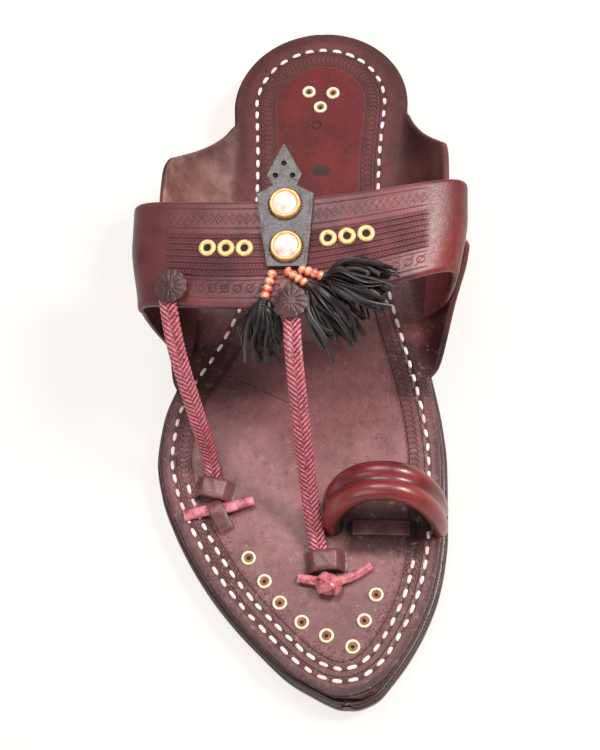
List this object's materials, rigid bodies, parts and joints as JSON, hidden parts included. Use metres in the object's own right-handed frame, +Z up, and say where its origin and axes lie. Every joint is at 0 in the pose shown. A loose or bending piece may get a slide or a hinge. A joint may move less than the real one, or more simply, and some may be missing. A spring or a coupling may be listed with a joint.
{
  "type": "kolhapuri sandal",
  "caption": "Right-foot kolhapuri sandal in oxblood leather with turned-up side flaps, tooled instep band, braided straps, toe ring, studs, beads and tassels.",
  "frame": {"origin": "on the floor, under the centre of the round heel", "axes": "+Z up, the toe towards -Y, the medial side towards +X"},
  "size_m": [0.1236, 0.2801, 0.0842],
  "materials": {
    "tan_leather": "natural vegetable-tanned, satin",
    "edge_leather": "dark burnished edge",
    "oxblood_leather": "polished oxblood with mauve sheen, tooled",
    "crimson_leather": "bright crimson, satin",
    "ring_leather": "glossy red-brown",
    "slate_leather": "dark slate, satin",
    "black_leather": "thin black strips, matte",
    "gold": "polished",
    "pearl": "pearl lustre",
    "bead_copper": "orange-red metallic coating"
  },
  "bodies": {
    "root": {"outsole": "tan_leather", "heel": "edge_leather", "midsole": "edge_leather", "insole": "oxblood_leather", "upper": "oxblood_leather", "centre_keeper": "oxblood_leather", "lateral_keeper": "oxblood_leather", "centre_knot": "crimson_leather", "lateral_toggle": "crimson_leather", "toe_ring": "ring_leather", "toe_ring_strip": "ring_leather", "plate": "slate_leather", "rear_stud_rim": "gold", "rear_stud_stone": "pearl", "front_stud_rim": "gold", "front_stud_stone": "pearl", "centre_rosette": "oxblood_leather", "lateral_rosette": "oxblood_leather", "band_eyelet_1": "gold", "band_eyelet_2": "gold", "band_eyelet_3": "gold", "band_eyelet_4": "gold", "band_eyelet_5": "gold", "band_eyelet_6": "gold", "toe_eyelet_1": "gold", "toe_eyelet_2": "gold", "toe_eyelet_3": "gold", "toe_eyelet_4": "gold", "toe_eyelet_5": "gold", "toe_eyelet_6": "gold", "toe_eyelet_7": "gold", "toe_eyelet_8": "gold", "heel_eyelet_1": "gold", "heel_eyelet_2": "gold", "heel_eyelet_3": "gold", "bead_string_1": "bead_copper", "bead_string_2": "bead_copper", "bead_string_3": "bead_copper", "tassel_1": "black_leather", "tassel_2": "black_leather", "tassel_3": "black_leather"}
  },
  "joints": []
}
